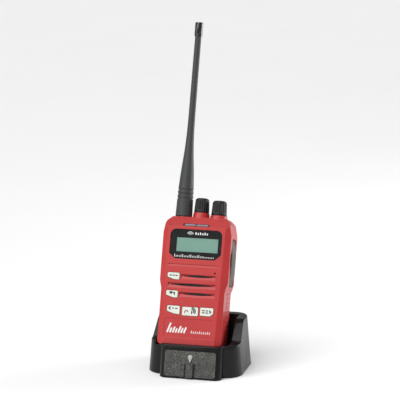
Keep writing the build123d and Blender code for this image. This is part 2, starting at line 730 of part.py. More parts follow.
battery_front_y = case_back_y + 0.25
with BuildPart() as battery_case:
    with BuildSketch(facing(battery_front_y)) as pack:
        with Locations((0, (battery_foot + battery_top) / 2)):
            RectangleRounded(2 * battery_half, battery_top - battery_foot, 3.0)
    extrude(amount=battery_front_y - battery_back_y)
    fillet(battery_case.faces().sort_by(Axis.Y)[-1].edges(), 2.4)
    with BuildSketch(facing(battery_front_y)) as pack_hollow:
        with Locations((0, (battery_foot + battery_top) / 2)):
            RectangleRounded(2 * battery_half - 3.6, battery_top - battery_foot - 3.6, 1.6)
    extrude(amount=battery_front_y - battery_back_y + 1.7, mode=Mode.SUBTRACT)
    for x, y in contact_places:
        with BuildSketch(Plane((x, y, battery_foot - 1))) as contact_window:
            Rectangle(5.2, 3.2)
        extrude(amount=4, mode=Mode.SUBTRACT)
battery_case.part.label = "battery_case"

with BuildPart() as battery_lid:
    with BuildSketch(facing(battery_front_y + 0.1)) as lid:
        with Locations((0, (battery_foot + battery_top) / 2)):
            RectangleRounded(2 * battery_half - 3.8, battery_top - battery_foot - 3.8, 1.5)
    extrude(amount=-1.0)
battery_lid.part.label = "battery_lid"

with BuildPart() as battery_cells:
    for x in (-9.4, 9.4):
        with BuildSketch(facing(battery_front_y + 1.2)) as cell:
            with Locations((x, 45.0)):
                RectangleRounded(18.2, 64.0, 1.0)
        extrude(amount=-6.6)
battery_cells.part.label = "battery_cells"

with BuildPart() as charge_contacts:
    for x, y in contact_places:
        with BuildSketch(Plane((x, y, battery_foot + 0.15))) as contact:
            Rectangle(5.0, 3.0)
        extrude(amount=0.6)
        with BuildSketch(Plane((x, y, battery_foot + 0.7))) as contact_leg:
            Rectangle(2.0, 1.0)
        extrude(amount=8)
charge_contacts.part.label = "charge_contacts"

latch_low, latch_high, latch_half = battery_top + 2.0, battery_top + 7.0, 8.0
guide_z = battery_top + 5.6
with BuildPart() as latch_guides:
    for side in (1, -1):
        with BuildSketch(facing(case_back_y + 0.05)) as guide:
            with Locations((side * (latch_half + 2.2), guide_z)):
                RectangleRounded(3.6, 9.0, 0.8)
        extrude(amount=-3.0)
        with BuildSketch(facing(case_back_y + 0.05)) as guide_slot:
            with Locations((side * (latch_half + 0.9), guide_z)):
                Rectangle(1.8, 9.2)
        extrude(amount=-1.4, mode=Mode.SUBTRACT)
latch_guides.part.label = "latch_guides"

with BuildPart() as battery_latch:
    with BuildSketch(facing(case_back_y + 0.25)) as latch:
        with Locations((0, (latch_low + latch_high) / 2)):
            Rectangle(2 * latch_half, latch_high - latch_low)
    extrude(amount=-3.6)
    for rib in range(3):
        with BuildSketch(facing(case_back_y + 4.2)) as rib_cut:
            with Locations((0, latch_low + 1.4 + 1.2 * rib)):
                Rectangle(12.0, 0.6)
        extrude(amount=1.0, mode=Mode.SUBTRACT)
    with BuildSketch(facing(case_back_y + 0.25)) as latch_wings:
        with Locations((0, (latch_low + latch_high) / 2)):
            Rectangle(2 * latch_half + 2.4, latch_high - latch_low - 1)
    extrude(amount=-0.9)
battery_latch.part.label = "battery_latch"

clip_pivot_y, clip_pivot_z = battery_back_y + 3.8, battery_top - 8.0
clip_gap_y, clip_thickness, clip_half = battery_back_y + 5.8, 1.8, 9.0
clip_low, clip_high = clip_pivot_z - 38.0, clip_pivot_z + 7.0
clip_screw_places = [(-6.0, clip_pivot_z + 3.4), (6.0, clip_pivot_z + 3.4)]
with BuildPart() as clip_base:
    with BuildSketch(facing(battery_back_y + 0.05)) as base_foot:
        with Locations((0, clip_pivot_z)):
            RectangleRounded(24.0, 14.0, 2.0)
    extrude(amount=-1.6)
    for x in (-10.6, 10.6):
        with BuildSketch(Plane((x, battery_back_y + 0.05, clip_pivot_z - 3.4), x_dir=(0, 1, 0), z_dir=(1, 0, 0))) as lug:
            with BuildLine():
                Polyline((0, 0), (5.4, 1.6), (5.4, 5.2), (0, 6.8), close=True)
            make_face()
        extrude(amount=0.9, both=True)
    with BuildSketch(Plane((-14, clip_pivot_y, clip_pivot_z), z_dir=(1, 0, 0))) as lug_bore:
        Circle(0.84)
    extrude(amount=28, mode=Mode.SUBTRACT)
    with BuildSketch(facing(battery_back_y + 5)) as base_holes:
        with Locations(*clip_screw_places):
            Circle(1.15)
    extrude(amount=8, mode=Mode.SUBTRACT)
clip_base.part.label = "clip_base"

with BuildPart() as clip_pin:
    with BuildSketch(Plane((-12.2, clip_pivot_y, clip_pivot_z), z_dir=(1, 0, 0))) as pivot:
        Circle(0.8)
    extrude(amount=24.4)
clip_pin.part.label = "clip_pin"

with BuildPart() as belt_clip:
    with BuildSketch(Plane.YZ) as clip_side:
        with BuildLine():
            Polyline(
                (clip_gap_y, clip_high),
                (clip_gap_y + clip_thickness, clip_high),
                (clip_gap_y + clip_thickness, clip_low + 4.0),
                (clip_gap_y + clip_thickness - 1.2, clip_low),
                (clip_gap_y - 2.2, clip_low),
                (clip_gap_y, clip_low + 4.5),
                close=True,
            )
        make_face()
    extrude(amount=clip_half, both=True)
    with BuildSketch(facing(clip_gap_y + 3)) as clip_round:
        with Locations((0, clip_high - 22.0)):
            RectangleRounded(2 * clip_half, 48.0, 4.0)
    extrude(amount=8, mode=Mode.INTERSECT)
    for x in (-8.3, 8.3):
        with BuildSketch(Plane((x, 0, 0), x_dir=(0, 1, 0), z_dir=(1, 0, 0))) as ear:
            with Locations((clip_pivot_y, clip_pivot_z)):
                Circle(1.9)
            with Locations(((clip_pivot_y + clip_gap_y + 0.5) / 2, clip_pivot_z)):
                Rectangle(clip_gap_y + 0.5 - clip_pivot_y, 3.8)
        extrude(amount=0.7, both=True)
    with BuildSketch(Plane((-14, clip_pivot_y, clip_pivot_z), z_dir=(1, 0, 0))) as ear_bore:
        Circle(0.86)
    extrude(amount=28, mode=Mode.SUBTRACT)
belt_clip.part.label = "belt_clip"

with BuildPart() as clip_spring:
    with BuildSketch(Plane((-5.0, clip_pivot_y, clip_pivot_z), z_dir=(1, 0, 0))) as coil:
        Circle(1.6)
        Circle(0.95, mode=Mode.SUBTRACT)
    extrude(amount=10.0)
clip_spring.part.label = "clip_spring"

with BuildPart() as clip_screws:
    with BuildSketch(facing(battery_back_y + 1.7)) as screw_heads:
        with Locations(*clip_screw_places):
            Circle(1.9)
    extrude(amount=-0.7)
    with BuildSketch(facing(battery_back_y + 1.7)) as screw_shanks:
        with Locations(*clip_screw_places):
            Circle(1.0)
    extrude(amount=1.6)
clip_screws.part.label = "clip_screws"


# Charger
def cradle_block(inset, foot, top):
    """The charger's tapered outer form with its front bulge, shrunk on all sides by a wall."""
    with BuildPart() as form:
        with BuildSketch(Plane.XY.offset(foot)) as footprint:
            RectangleRounded(cradle_width - 2 * inset, cradle_depth - 2 * inset, cradle_corner - inset)
        extrude(amount=top - foot, taper=cradle_draft)
        with BuildSketch(Plane.XY.offset(foot)) as bulge_foot:
            with Locations((0, (bulge_front + inset - 10.0) / 2)):
                RectangleRounded(2 * (bulge_half - inset), -10.0 - bulge_front - inset, 5.0 - inset)
        bulge_up = Vector(0, sin(radians(bulge_lean)), cos(radians(bulge_lean)))
        extrude(amount=(rim_height - inset - foot) / bulge_up.Z, dir=bulge_up)
    return form.part


def pocket_space(margin, half_width=cradle_width, middle=0.0):
    """The block that the radio stands in, grown by a margin and tipped with the radio."""
    front = face_y - dock_gap - margin
    back = battery_back_y + dock_gap + margin
    with BuildPart() as space:
        with BuildSketch(Plane.XY.offset(-dock_gap - margin)) as opening:
            with Locations((middle, (front + back) / 2)):
                Rectangle(2 * half_width, back - front)
        extrude(amount=80)
    return space.part.moved(dock)


pocket_width, pocket_middle = pocket_right - pocket_left, (pocket_left + pocket_right) / 2 - dock_x
pocket = pocket_space(0, pocket_width / 2, pocket_middle) & cradle_block(cradle_wall, 0, cradle_height + 5)
service_space = cradle_block(cradle_wall, 0, cradle_height - cradle_wall) - pocket_space(cradle_wall)
wall_space = cradle_block(cradle_wall, 0, rim_height - cradle_wall)  # hollow in the thick side walls
wall_space -= pocket_space(cradle_wall, pocket_width / 2 + cradle_wall, pocket_middle)
radio_space = pocket_space(0, low_half + dock_gap)

pin_radius, pin_collar_radius = 0.9, 1.5
floor_bottom = -dock_gap - cradle_wall
pin_block_height = 5.2

# Front panel: drawn on the leaning front of the bulge
panel_plane = Plane(
    origin=(0, bulge_front, shell_foot),
    x_dir=(1, 0, 0),
    z_dir=(0, -cos(radians(bulge_lean)), sin(radians(bulge_lean))),
)
panel_half, panel_low, panel_high, panel_depth = 19.6, 1.3, 20.6, 1.4
tongue_half, tongue_low, tongue_high, tongue_proud = 2.6, 0.6, 11.0, 1.6
tongue_groove = 1.6
light_low, light_middle, light_radius = 11.9, 16.2, 1.7


def teardrop(plane, grow=0.0):
    """Outline of the charge light: round at the top, narrowing downwards."""
    with BuildSketch(plane) as drop:
        with BuildLine():
            Polyline(
                (-light_radius, light_middle), (0, light_low), (light_radius, light_middle), close=True
            )
        make_face()
        with Locations((0, light_middle)):
            Circle(light_radius)
        if grow:
            offset(amount=grow)
    return drop.sketch


screw_x, screw_y = cradle_width / 2 - 7.0, 12.5
base_screw_places = [(-screw_x, -screw_y), (screw_x, -screw_y), (-screw_x, screw_y), (screw_x, screw_y)]
base_top = mat_thickness + 1.6
inlet_x, inlet_z, inlet_back = 0.0, 9.5, cradle_depth / 2 - 3.9
inlet_radius, inlet_pin_radius, inlet_depth = 3.2, 1.0, 9.0

with BuildPart() as cradle_shell:
    add(cradle_block(0, shell_foot, cradle_height))
    fillet(cradle_shell.faces().sort_by(Axis.Z)[-1].edges(), 1.0)
    # the wings' front edges rise from the rim to the tall back
    with BuildSketch(Plane.YZ) as wing_line:
        with BuildLine():
            Polyline(
                (bulge_front - 5, rim_height),
                (wing_foot_y, rim_height),
                (wing_top_y - 4.5, cradle_height - 2.0),
                (wing_top_y, cradle_height + 0.01),
                (wing_top_y, cradle_height + 5),
                (bulge_front - 5, cradle_height + 5),
                close=True,
            )
        make_face()
        fillet(wing_line.vertices().sort_by_distance((wing_foot_y, rim_height))[0], 4.0)
        fillet(wing_line.vertices().sort_by_distance((wing_top_y - 4.5, cradle_height - 2.0))[0], 4.0)
    extrude(amount=cradle_width, both=True, mode=Mode.SUBTRACT)
    add(pocket, mode=Mode.SUBTRACT)
    add(radio_space, mode=Mode.SUBTRACT)
    add(service_space, mode=Mode.SUBTRACT)
    add(wall_space, mode=Mode.SUBTRACT)
    for x, y in base_screw_places:
        with BuildSketch(Plane((x, y, base_top + seat_gap))) as post:
            Circle(2.8)
            with Locations((2.4 if x > 0 else -2.4, 0)):
                Rectangle(5.2, 5.6)
        extrude(amount=6.5)
        with BuildSketch(Plane((x, y, base_top))) as post_hole:
            Circle(1.05)
        extrude(amount=5.5, mode=Mode.SUBTRACT)
    with BuildSketch(panel_plane) as panel_seat:
        with Locations((0, (panel_low + panel_high) / 2)):
            RectangleRounded(2 * panel_half + 0.2, panel_high - panel_low + 0.2, 2.0)
    extrude(amount=-panel_depth, mode=Mode.SUBTRACT)
    extrude(teardrop(panel_plane, 0.1), amount=-6, mode=Mode.SUBTRACT)
    with BuildSketch(Plane((inlet_x, cradle_depth / 2 - 4, inlet_z), z_dir=(0, 1, 0))) as inlet_hole:
        Circle(inlet_radius + 0.6)
    extrude(amount=6, mode=Mode.SUBTRACT)
    for x, y in contact_places:
        hole_plane = Plane((x, y, floor_bottom - 1)).location
        with BuildSketch(Plane(dock * hole_plane)) as pin_hole:
            Circle(pin_radius + 0.2)
        extrude(amount=4, mode=Mode.SUBTRACT)
cradle_shell.part.label = "cradle_shell"

with BuildPart() as front_panel:
    with BuildSketch(panel_plane.offset(-panel_depth + seat_gap)) as panel:
        with Locations((0, (panel_low + panel_high) / 2)):
            RectangleRounded(2 * panel_half, panel_high - panel_low, 1.9)
    extrude(amount=panel_depth + 0.2)
    with BuildSketch(panel_plane) as tongue:
        with Locations((0, (tongue_low + tongue_high) / 2)):
            Rectangle(2 * tongue_half, tongue_high - tongue_low)
    extrude(amount=tongue_proud)
    fillet(front_panel.faces().sort_by(Axis.Y)[0].edges(), 0.6)
    with BuildSketch(panel_plane.offset(1)) as tongue_grooves:
        for side in (1, -1):
            with Locations((side * (tongue_half + tongue_groove / 2), tongue_high / 2)):
                Rectangle(tongue_groove, tongue_high)
    extrude(amount=-1 - panel_depth + 0.4, mode=Mode.SUBTRACT)
    extrude(teardrop(panel_plane.offset(3), 0.1), amount=-6, mode=Mode.SUBTRACT)
front_panel.part.label = "front_panel"

with BuildPart() as charge_light:
    extrude(teardrop(panel_plane.offset(0.7)), amount=-4.0)
charge_light.part.label = "charge_light"

with BuildPart() as pin_block:
    with BuildSketch(Plane.XY.offset(floor_bottom - seat_gap)) as block_area:
        with Locations((0, contact_places[0][1])):
            Rectangle(20.0, 5.6)
    extrude(amount=-pin_block_height)
    with BuildSketch(Plane.XY.offset(floor_bottom - seat_gap)) as block_bores:
        with Locations(*contact_places):
            Circle(pin_collar_radius + 0.15)
    extrude(amount=-pin_block_height + 0.8, mode=Mode.SUBTRACT)
pin_block.part.label = "pin_block"

pin_pieces = []
pin_collar_top = floor_bottom - 0.15
spring_foot = floor_bottom - seat_gap - pin_block_height + 0.85
for side, (x, y) in zip(("left", "right"), contact_places):
    with BuildPart() as contact_pin:
        with BuildSketch(Plane((x, y, pin_collar_top - 1.0))) as pin_collar:
            Circle(pin_collar_radius)
        extrude(amount=1.0)
        with BuildSketch(Plane((x, y, pin_collar_top - 1.0))) as pin_stem:
            Circle(pin_radius)
        extrude(amount=battery_foot + 0.1 - pin_collar_top + 1.0)
        fillet(contact_pin.faces().sort_by(Axis.Z)[-1].edges(), 0.5)
    contact_pin.part.label = f"contact_pin_{side}"
    with BuildPart() as pin_spring:
        with BuildSketch(Plane((x, y, spring_foot))) as spring_tube:
            Circle(1.4)
            Circle(0.95, mode=Mode.SUBTRACT)
        extrude(amount=pin_collar_top - 1.0 - seat_gap - spring_foot)
    pin_spring.part.label = f"pin_spring_{side}"
    pin_pieces += [contact_pin, pin_spring]

with BuildPart() as charge_board:
    with BuildSketch(Plane.XY.offset(base_top + 0.5)) as charger_laminate:
        with Locations((0, 2.0)):
            Rectangle(44.0, 42.0)
    extrude(amount=1.2)
charge_board.part.label = "charge_board"

with BuildPart() as dc_inlet:
    with BuildSketch(Plane.XY.offset(base_top + 1.75)) as inlet_body:
        with Locations((inlet_x, inlet_back - 5.6)):
            Rectangle(9.4, 11.2)
    extrude(amount=2 * (inlet_z - base_top - 1.75))
    with BuildSketch(Plane((inlet_x, inlet_back + 1, inlet_z), z_dir=(0, 1, 0))) as inlet_bore:
        Circle(inlet_radius)
        Circle(inlet_pin_radius, mode=Mode.SUBTRACT)
    extrude(amount=-inlet_depth - 1, mode=Mode.SUBTRACT)
dc_inlet.part.label = "dc_inlet"

with BuildPart() as base_plate:
    with BuildSketch(Plane.XY.offset(mat_thickness)) as plate_outline:
        inset = cradle_wall + 0.7
        RectangleRounded(cradle_width - 2 * inset, cradle_depth - 2 * inset, cradle_corner - inset)
        with Locations((0, (bulge_front + inset + 1 - 10.0) / 2)):
            RectangleRounded(2 * (bulge_half - inset), -11.0 - bulge_front - inset, 2.0)
    extrude(amount=base_top - mat_thickness)
    for x, y in base_screw_places:
        with BuildSketch(Plane((x, y, mat_thickness))) as plate_hole:
            Circle(1.3)
        extrude(amount=3, mode=Mode.SUBTRACT)
        with BuildSketch(Plane((x, y, mat_thickness))) as plate_counterbore:
            Circle(2.2)
        extrude(amount=0.8, mode=Mode.SUBTRACT)
base_plate.part.label = "base_plate"

with BuildPart() as base_screws:
    for x, y in base_screw_places:
        with BuildSketch(Plane((x, y, mat_thickness + 0.1))) as base_head:
            Circle(2.0)
        extrude(amount=0.65)
        with BuildSketch(Plane((x, y, mat_thickness + 0.1))) as base_shank:
            Circle(1.0)
        extrude(amount=6.0)
        with BuildSketch(Plane((x, y, mat_thickness + 0.1))) as base_drive:
            Rectangle(2.4, 0.55)
            Rectangle(0.55, 2.4)
        extrude(amount=0.4, mode=Mode.SUBTRACT)
base_screws.part.label = "base_screws"

with BuildPart() as rubber_mat:
    with BuildSketch(Plane.XY) as mat:
        RectangleRounded(cradle_width - 26.0, cradle_depth - 9.0, 6.0)
    extrude(amount=mat_thickness)
    chamfer(rubber_mat.faces().sort_by(Axis.Z)[0].edges(), 0.3)
rubber_mat.part.label = "rubber_mat"

radio_pieces = [
    front_case, display_lens, lens_mask, lcd_panel, lcd_frame, *key_pieces, keypad_mat,
    key_board, speaker, microphone, main_board, shield_can, chassis, case_screws,
    status_frame, status_lights, *control_pieces, bushing_nuts, antenna_socket, antenna_sleeve,
    antenna_core, antenna_cap, ptt_bar, side_key, jack_cover, cover_pin, jack_block, battery_case,
    battery_lid, battery_cells, charge_contacts, latch_guides, battery_latch, clip_base, clip_pin,
    belt_clip, clip_spring, clip_screws,
]
for piece in radio_pieces + [pin_block, *pin_pieces]:
    placed = piece.part.moved(dock)
    placed.label = piece.part.label
    export_step(placed, f"parts/{placed.label}.step")
for piece in (
    cradle_shell, front_panel, charge_light, charge_board, dc_inlet, base_plate, base_screws,
    rubber_mat,
):
    export_step(piece.part, f"parts/{piece.part.label}.step")
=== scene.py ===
# Handheld radio standing in its desktop charger: looks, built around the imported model.
import json
import math

import bmesh
import bpy
from mathutils import Matrix, Vector


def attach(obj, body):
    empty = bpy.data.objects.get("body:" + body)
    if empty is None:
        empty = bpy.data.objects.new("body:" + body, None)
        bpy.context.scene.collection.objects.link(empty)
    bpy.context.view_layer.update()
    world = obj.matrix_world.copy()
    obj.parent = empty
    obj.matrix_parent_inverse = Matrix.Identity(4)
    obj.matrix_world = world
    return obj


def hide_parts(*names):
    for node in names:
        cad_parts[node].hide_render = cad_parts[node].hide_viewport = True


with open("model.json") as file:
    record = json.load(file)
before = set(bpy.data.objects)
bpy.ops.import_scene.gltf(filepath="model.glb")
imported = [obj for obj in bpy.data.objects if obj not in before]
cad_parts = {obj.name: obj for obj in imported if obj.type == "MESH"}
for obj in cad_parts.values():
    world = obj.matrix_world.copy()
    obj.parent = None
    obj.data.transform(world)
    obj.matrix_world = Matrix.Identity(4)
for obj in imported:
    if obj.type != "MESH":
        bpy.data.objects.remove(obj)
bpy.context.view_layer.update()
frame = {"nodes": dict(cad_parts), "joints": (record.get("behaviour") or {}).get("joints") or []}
nodes = frame["nodes"]
joints = {joint["name"]: joint for joint in frame["joints"]}
print("frame loaded:", len(nodes), "nodes")

millimetre = 0.001
liftAxis = Vector(joints["radio_lift"]["axis"])
leanAngle = math.atan2(liftAxis.y, liftAxis.z)
leanTurn = Matrix.Rotation(-leanAngle, 4, "X")
volumeStem = Vector((-0.4, -2.0, 101.0))  # the volume knob's joint in the radio's own millimetres
radioFoot = Vector(joints["volume_turn"]["pos_m"]) - leanTurn @ (volumeStem * millimetre)
radioPlace = Matrix.Translation(radioFoot) @ leanTurn @ Matrix.Scale(millimetre, 4)


def hexToLinear(code):  # sRGB hex to linear RGBA
    values = [int(code[i:i + 2], 16) / 255 for i in (1, 3, 5)]
    return [v / 12.92 if v <= 0.04045 else ((v + 0.055) / 1.055) ** 2.4 for v in values] + [1.0]


def addNode(tree, kind, inputs=None, **settings):
    node = tree.nodes.new(kind)
    for name, value in settings.items():
        setattr(node, name, value)
    for name, value in (inputs or {}).items():
        if isinstance(value, bpy.types.NodeSocket):
            tree.links.new(value, node.inputs[name])
        else:
            node.inputs[name].default_value = value
    return node


def startMaterial(name):
    material = bpy.data.materials.new(name)
    material.use_nodes = True
    material.node_tree.nodes.clear()
    return material, material.node_tree


def finishMaterial(tree, shader):
    addNode(tree, "ShaderNodeOutputMaterial", {"Surface": shader.outputs[0]})


# Moulded, painted and rubber surfaces share one build: a slow colour drift, a fine mould grain in the
# bump, a roughness that wanders with handling, and edges that are rounded and rubbed a little lighter.
def mouldedSurface(name, look):
    material, tree = startMaterial(name)
    place = addNode(tree, "ShaderNodeTexCoord").outputs["Object"]
    drift = addNode(
        tree, "ShaderNodeTexNoise", {"Vector": place, "Scale": 1000 / look["driftMm"], "Detail": 4.0},
    )
    grain = addNode(
        tree, "ShaderNodeTexNoise", {"Vector": place, "Scale": 1000 / look["grainMm"], "Detail": 3.0},
    )
    rounded = addNode(tree, "ShaderNodeBevel", {"Radius": look["edgeMm"] * millimetre}, samples=4)
    flat = addNode(tree, "ShaderNodeNewGeometry")
    facing = addNode(
        tree, "ShaderNodeVectorMath",
        {0: rounded.outputs[0], 1: flat.outputs["Normal"]}, operation="DOT_PRODUCT",
    )
    edge = addNode(
        tree, "ShaderNodeMapRange",
        {"Value": facing.outputs["Value"], "From Min": 0.995, "From Max": 0.86,
         "To Min": 0.0, "To Max": look["wear"]},
    )
    body = addNode(
        tree, "ShaderNodeMix",
        {"Factor": drift.outputs["Fac"], 6: hexToLinear(look["shade"]), 7: hexToLinear(look["colour"])},
        data_type="RGBA",
    )
    rubbed = addNode(
        tree, "ShaderNodeMix",
        {"Factor": edge.outputs[0], 6: body.outputs[2], 7: hexToLinear(look["worn"])}, data_type="RGBA",
    )
    polish = addNode(
        tree, "ShaderNodeMapRange",
        {"Value": drift.outputs["Fac"], "From Min": 0.3, "From Max": 0.7,
         "To Min": look["roughness"] - 0.05, "To Max": look["roughness"] + 0.06},
    )
    bump = addNode(
        tree, "ShaderNodeBump",
        {"Height": grain.outputs["Fac"], "Strength": look["grainDepth"], "Distance": look["grainMm"] * 0.0002,
         "Normal": rounded.outputs[0]},
    )
    shader = addNode(
        tree, "ShaderNodeBsdfPrincipled",
        {"Base Color": rubbed.outputs[2], "Roughness": polish.outputs[0], "Normal": bump.outputs[0],
         "IOR": 1.5, "Specular IOR Level": look.get("specular", 0.5),
         "Coat Weight": look.get("coat", 0.0), "Coat Roughness": look.get("coatRoughness", 0.2)},
    )
    finishMaterial(tree, shader)
    return material


mouldedLooks = {
    # red ABS, satin moulding with a light gloss: warm red that lifts to pink where light grazes it
    "redMouldedAbs": dict(colour="#B92B2A", shade="#AC2324", worn="#D0605C", roughness=0.4, grainMm=0.35,
                          grainDepth=0.35, driftMm=14, edgeMm=0.55, wear=0.45, coat=0.12, coatRoughness=0.3),
    # black ABS, satin: deep black with soft wide highlights
    "blackSatinAbs": dict(colour="#0C0C0D", shade="#080809", worn="#2A2A2C", roughness=0.3, grainMm=0.4,
                          grainDepth=0.25, driftMm=18, edgeMm=0.7, wear=0.3, specular=0.3),
    # black ABS with a coarser spark grain, as on battery packs
    "blackGrainedAbs": dict(colour="#222224", shade="#19191A", worn="#444446", roughness=0.52, grainMm=0.5,
                            grainDepth=0.8, driftMm=12, edgeMm=0.6, wear=0.4),
    # knob ABS: semi-matt, greyed by fingers on the flute crests
    "knobMouldedAbs": dict(colour="#1A1B1D", shade="#121315", worn="#4A4C4F", roughness=0.42, grainMm=0.3,
                           grainDepth=0.4, driftMm=5, edgeMm=0.3, wear=0.4, specular=0.35),
    # moulded whip rubber: charcoal, dull with a soft sheen
    "whipRubber": dict(colour="#383939", shade="#2E2F30", worn="#5A5B5A", roughness=0.56, grainMm=0.3,
                       grainDepth=0.35, driftMm=22, edgeMm=0.3, wear=0.2),
    # warm grey thermoplastic rubber of the jack cover
    "greyFlapRubber": dict(colour="#4B4941", shade="#403E38", worn="#65635A", roughness=0.6, grainMm=0.35,
                           grainDepth=0.5, driftMm=10, edgeMm=0.5, wear=0.3),
    # black key rubber: dull, with a fine grain
    "blackKeyRubber": dict(colour="#242425", shade="#1B1B1C", worn="#3E3E40", roughness=0.62, grainMm=0.3,
                           grainDepth=0.5, driftMm=9, edgeMm=0.5, wear=0.3),
    # off-white key caps, slightly green, polished by touch
    "offWhiteKeyAbs": dict(colour="#DDE0D6", shade="#D0D5CA", worn="#F0F1EC", roughness=0.42, grainMm=0.25,
                           grainDepth=0.25, driftMm=5, edgeMm=0.35, wear=0.4, coat=0.1),
    # gloss black ABS and lens ink: near black with sharp reflections
    "glossBlackAbs": dict(colour="#0D0D0F", shade="#08080A", worn="#2A2A2C", roughness=0.14, grainMm=0.5,
                          grainDepth=0.08, driftMm=15, edgeMm=0.3, wear=0.25, coat=0.5, coatRoughness=0.06),
    # pad-printed inks: flat colour, half matt
    "printedLegend": dict(colour="#3B3F3E", shade="#333736", worn="#4A4E4D", roughness=0.5, grainMm=0.2,
                          grainDepth=0.1, driftMm=3, edgeMm=0.05, wear=0.0),
    "printedWhite": dict(colour="#E9E9E7", shade="#DFDFDC", worn="#F4F4F2", roughness=0.5, grainMm=0.2,
                         grainDepth=0.1, driftMm=3, edgeMm=0.05, wear=0.0),
    "printedRose": dict(colour="#B4567A", shade="#A84C70", worn="#C0688A", roughness=0.5, grainMm=0.2,
                        grainDepth=0.1, driftMm=3, edgeMm=0.05, wear=0.0),
    # frosted polycarbonate light windows
    "frostedDiffuser": dict(colour="#9A949B", shade="#7C777E", worn="#BDB8BE", roughness=0.3, grainMm=0.3,
                            grainDepth=0.3, driftMm=4, edgeMm=0.2, wear=0.2, coat=0.3, coatRoughness=0.1),
    # moulded clear lens over the charge light, glassy: its bright, uneven light grey and near-white edges are a
    # painted highlight
    "chargeLensPaintedHighlight": dict(colour="#C9C8C0", shade="#8F8F88", worn="#F2F2EE", roughness=0.16, grainMm=0.5,
                       grainDepth=0.2, driftMm=2.0, edgeMm=0.4, wear=0.5, coat=0.6, coatRoughness=0.05),
    # green solder mask on glass laminate
    "circuitLaminate": dict(colour="#1E5B38", shade="#184B2E", worn="#2F7A4C", roughness=0.35, grainMm=0.8,
                            grainDepth=0.3, driftMm=3, edgeMm=0.1, wear=0.1),
    # silicone key mat and the charger's foot: matt and soft looking
    "siliconeMat": dict(colour="#6B6B69", shade="#5E5E5C", worn="#7D7D7B", roughness=0.7, grainMm=0.4,
                        grainDepth=0.4, driftMm=8, edgeMm=0.3, wear=0.1),
    "deskFootRubber": dict(colour="#2B2B2B", shade="#222222", worn="#3C3C3C", roughness=0.8, grainMm=0.6,
                           grainDepth=0.8, driftMm=8, edgeMm=0.3, wear=0.2),
}


# Turned, pressed and plated metal: fine stretched scratches in the roughness and the bump
def metalSurface(name, look):
    material, tree = startMaterial(name)
    place = addNode(tree, "ShaderNodeTexCoord").outputs["Object"]
    stretch = addNode(tree, "ShaderNodeMapping", {"Vector": place, "Scale": (1.0, 1.0, look["stretch"])})
    lines = addNode(
        tree, "ShaderNodeTexNoise",
        {"Vector": stretch.outputs[0], "Scale": 1000 / look["lineMm"], "Detail": 5.0},
    )
    tone = addNode(
        tree, "ShaderNodeMix",
        {"Factor": lines.outputs["Fac"], 6: hexToLinear(look["shade"]), 7: hexToLinear(look["colour"])},
        data_type="RGBA",
    )
    polish = addNode(
        tree, "ShaderNodeMapRange",
        {"Value": lines.outputs["Fac"], "From Min": 0.3, "From Max": 0.7,
         "To Min": look["roughness"] - 0.08, "To Max": look["roughness"] + 0.1},
    )
    rounded = addNode(tree, "ShaderNodeBevel", {"Radius": 0.00025}, samples=4)
    bump = addNode(
        tree, "ShaderNodeBump",
        {"Height": lines.outputs["Fac"], "Strength": 0.25, "Distance": 0.00004, "Normal": rounded.outputs[0]},
    )
    shader = addNode(
        tree, "ShaderNodeBsdfPrincipled",
        {"Base Color": tone.outputs[2], "Roughness": polish.outputs[0], "Normal": bump.outputs[0],
         "Metallic": 1.0},
    )
    finishMaterial(tree, shader)
    return material


metalLooks = {
    # plated screws and pins, pressed tin, gold contacts, nickelled nuts, black cast alloy, cell wrap:
    # all bright to dull with lines left by the tool
    "zincSteel": dict(colour="#B9BABC", shade="#8E9093", roughness=0.32, lineMm=0.25, stretch=0.1),
    "pressedSteel": dict(colour="#A7A8AA", shade="#87898C", roughness=0.36, lineMm=0.5, stretch=0.3),
    "goldPlate": dict(colour="#D8B25A", shade="#B98F3C", roughness=0.25, lineMm=0.3, stretch=1.0),
    "nickelBrass": dict(colour="#C9BFA0", shade="#A89C7A", roughness=0.28, lineMm=0.3, stretch=0.3),
    "castAluminiumBlack": dict(colour="#3A3B3D", shade="#28292B", roughness=0.5, lineMm=0.6, stretch=1.0),
    "cellFoil": dict(colour="#C6C8CC", shade="#A5A8AD", roughness=0.3, lineMm=0.8, stretch=0.1),
}


